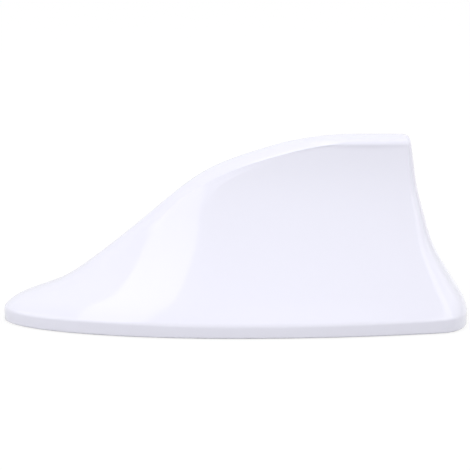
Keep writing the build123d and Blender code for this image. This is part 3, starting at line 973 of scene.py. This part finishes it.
class FIN_OT_board_parts(bpy.types.Operator):
    """Builds the small parts on the amplifier board"""

    bl_idname = "fin_aerial.board_parts"
    bl_label = "Board parts"

    def execute(self, context):
        finish = context.scene.fin_finish
        tin = plain_finish("solder_tin", finish.tin)
        tan = plain_finish("ceramic_tan", finish.ceramic)
        film = plain_finish("resistor_film", finish.film)
        capacitors = end_capped_parts("ceramic_capacitors", "chip_capacitors", tan, tin)
        hand_over(capacitors, "capacitor_tan", "chip_capacitors")
        resistors = end_capped_parts("film_resistors", "chip_resistors", film, tin)
        hand_over(resistors, "resistor_black", "chip_resistors")
        dress(plain_finish("chip_resin", finish.resin), "amplifier_chip")
        dress(plain_finish("choke_ferrite", finish.ferrite), "supply_choke")
        foot_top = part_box("supply_capacitor")[0].z + CAN_FOOT
        dress(can_finish(foot_top, finish.can_foot, finish.can_metal), "supply_capacitor")
        return {"FINISHED"}


def heading(azimuth, elevation):
    """Direction from the fin. Azimuth 0 is on the camera's side, and 90 is at the tail."""
    a, e = math.radians(azimuth), math.radians(elevation)
    return Vector((math.sin(a) * math.cos(e), -math.cos(a) * math.cos(e), math.sin(e)))


def soft_box(name, place, strength):
    """Lit panel that faces the fin."""
    azimuth, elevation, distance, size, roll, slide = place
    out = heading(azimuth, elevation)
    lamp = bpy.data.lights.new(name, "AREA")
    lamp.shape = "RECTANGLE"
    lamp.size, lamp.size_y = size
    lamp.energy = strength * math.pi * size[0] * size[1]
    panel = bpy.data.objects.new(name, lamp)
    bpy.context.scene.collection.objects.link(panel)
    facing = (-out).to_track_quat("-Z", "Y").to_matrix().to_4x4()
    turn = facing @ Matrix.Rotation(math.radians(roll), 4, "Z")
    panel.rotation_euler = turn.to_euler()
    panel.location = Vector((0, 0, BOX_AIM)) + out * distance
    panel.location += turn.to_3x3() @ Vector((0, slide, 0))
    panel.visible_camera = False


def floor_white():
    """Matt floor that looks white to the camera and in reflections, and keeps a faint shadow."""
    material = bpy.data.materials.new("floor_white")
    material.use_nodes = True
    tree = material.node_tree
    tree.nodes.clear()
    out = new_node(tree, "ShaderNodeOutputMaterial")
    both = new_node(tree, "ShaderNodeAddShader")
    matt = new_node(tree, "ShaderNodeBsdfDiffuse", {"Color": (*3 * (FLOOR_TONE,), 1)})
    glow = new_node(tree, "ShaderNodeEmission")
    path = new_node(tree, "ShaderNodeLightPath")
    seen = sums(tree, "MAXIMUM", path.outputs["Is Camera Ray"], path.outputs["Is Glossy Ray"])
    seen = sums(tree, "MAXIMUM", seen, path.outputs["Is Transmission Ray"])
    tree.links.new(sums(tree, "MULTIPLY", seen, FLOOR_GLOW), glow.inputs["Strength"])
    for socket, shader in zip(both.inputs, (matt, glow)):
        tree.links.new(shader.outputs[0], socket)
    tree.links.new(both.outputs[0], out.inputs[0])
    return material


def sky_ramp(tree, rise, light):
    """Grey that follows the height above the floor."""
    ramp = new_node(tree, "ShaderNodeValToRGB")
    stops = ramp.color_ramp.elements
    while len(stops) < len(light):
        stops.new(1.0)
    for stop, (place, level) in zip(stops, light):
        stop.position = place
        stop.color = (level, level, level, 1)
    tree.links.new(rise, ramp.inputs["Fac"])
    return ramp.outputs["Color"]


def sky_panel(tree, direction, corners, strength):
    """Lit panel in the sky between its corners, with soft edges."""
    points = [heading(*corner) for corner in corners]
    light = strength
    for first, second in zip(points, points[1:] + points[:1]):
        inward = first.cross(second).normalized()
        inward *= math.copysign(1, inward.dot(sum(points, Vector())))
        depth = new_node(tree, "ShaderNodeVectorMath", {1: inward}, operation="DOT_PRODUCT")
        tree.links.new(direction, depth.inputs[0])
        limits = {"From Min": 0.0, "From Max": PANEL_EDGE}
        within = new_node(tree, "ShaderNodeMapRange", limits, interpolation_type="SMOOTHSTEP")
        tree.links.new(depth.outputs["Value"], within.inputs["Value"])
        light = sums(tree, "MULTIPLY", within.outputs["Result"], light)
    return light


def soft_sky(stage):
    """Light from all round that changes softly with height and from front to back, and two lit panels."""
    world = bpy.data.worlds.new("soft_sky")
    world.use_nodes = True
    tree = world.node_tree
    direction = new_node(tree, "ShaderNodeTexCoord").outputs["Generated"]
    parts = new_node(tree, "ShaderNodeSeparateXYZ")
    tree.links.new(direction, parts.inputs[0])
    front = sky_ramp(tree, parts.outputs["Z"], SKY_FRONT)
    back = sky_ramp(tree, parts.outputs["Z"], SKY_BACK)
    limits = {"From Min": -SKY_TURN, "From Max": SKY_TURN}
    behind = new_node(tree, "ShaderNodeMapRange", limits, interpolation_type="SMOOTHSTEP")
    tree.links.new(parts.outputs["Y"], behind.inputs["Value"])
    light = blend_colours(tree, behind.outputs["Result"], front, back)
    for corners, strength in ((TAIL_PANEL, stage.tail_light), (NOSE_PANEL, stage.lip_light)):
        light = sums(tree, "ADD", light, sky_panel(tree, direction, corners, strength))
    background = tree.nodes["Background"]
    tree.links.new(light, background.inputs["Color"])
    background.inputs["Strength"].default_value = stage.room
    return world


class FIN_OT_stage(bpy.types.Operator):
    """Lays the floor, hangs the soft boxes and sets the camera"""

    bl_idname = "fin_aerial.stage"
    bl_label = "Stage"

    def execute(self, context):
        stage = context.scene.fin_stage
        corners = [(x * FLOOR_REACH, y * FLOOR_REACH, 0) for x, y in ((-1, -1), (1, -1), (1, 1), (-1, 1))]
        floor_mesh = bpy.data.meshes.new("floor")
        floor_mesh.from_pydata(corners, [], [(0, 1, 2, 3)])
        floor = bpy.data.objects.new("floor", floor_mesh)
        context.scene.collection.objects.link(floor)
        floor_mesh.materials.append(floor_white())

        context.scene.world = soft_sky(stage)
        soft_box("nose_box", NOSE_BOX, stage.nose_light)
        soft_box("top_box", TOP_BOX, stage.top_light)
        soft_box("rear_box", REAR_BOX, stage.rear_light)

        camera = bpy.data.cameras.new("camera")
        camera.lens = stage.lens
        camera.sensor_width = SENSOR_WIDTH
        camera.clip_start, camera.clip_end = CLIP_RANGE
        holder = bpy.data.objects.new("camera", camera)
        context.scene.collection.objects.link(holder)
        out = Vector((0, -math.cos(stage.elevation), math.sin(stage.elevation)))
        holder.location = Vector((stage.aim_side, 0, stage.aim_height)) + out * stage.distance
        holder.rotation_euler = (-out).to_track_quat("-Z", "Y").to_euler()
        context.scene.camera = holder
        context.scene.view_settings.view_transform = "Standard"
        return {"FINISHED"}


class FIN_PT_panel(bpy.types.Panel):
    bl_label = "Fin aerial"
    bl_idname = "FIN_PT_panel"
    bl_space_type = "VIEW_3D"
    bl_region_type = "UI"
    bl_category = "Fin aerial"

    def draw(self, context):
        for step in STEPS:
            self.layout.operator(step.bl_idname)
        for name in SETTINGS:
            group = getattr(context.scene, name)
            for key in group.bl_rna.properties.keys():
                if key not in ("rna_type", "name"):
                    self.layout.prop(group, key)


STEPS = (
    FIN_OT_cover,
    FIN_OT_base,
    FIN_OT_screws,
    FIN_OT_boards,
    FIN_OT_metalwork,
    FIN_OT_board_parts,
    FIN_OT_stage,
)
SETTINGS = {
    "fin_form": FinFormSettings,
    "fin_screws": ScrewSettings,
    "fin_finish": FinishSettings,
    "fin_stage": StageSettings,
}
CLASSES = (*SETTINGS.values(), *STEPS, FIN_PT_panel)


def register():
    for kind in CLASSES:
        bpy.utils.register_class(kind)
    for name, kind in SETTINGS.items():
        setattr(bpy.types.Scene, name, PointerProperty(type=kind))


def unregister():
    for name in SETTINGS:
        delattr(bpy.types.Scene, name)
    for kind in reversed(CLASSES):
        bpy.utils.unregister_class(kind)


def main():
    register()
    bpy.ops.fin_aerial.cover()
    bpy.ops.fin_aerial.base()
    bpy.ops.fin_aerial.screws()
    bpy.ops.fin_aerial.boards()
    bpy.ops.fin_aerial.metalwork()
    bpy.ops.fin_aerial.board_parts()
    bpy.ops.fin_aerial.stage()


if __name__ == "__main__":
    main()
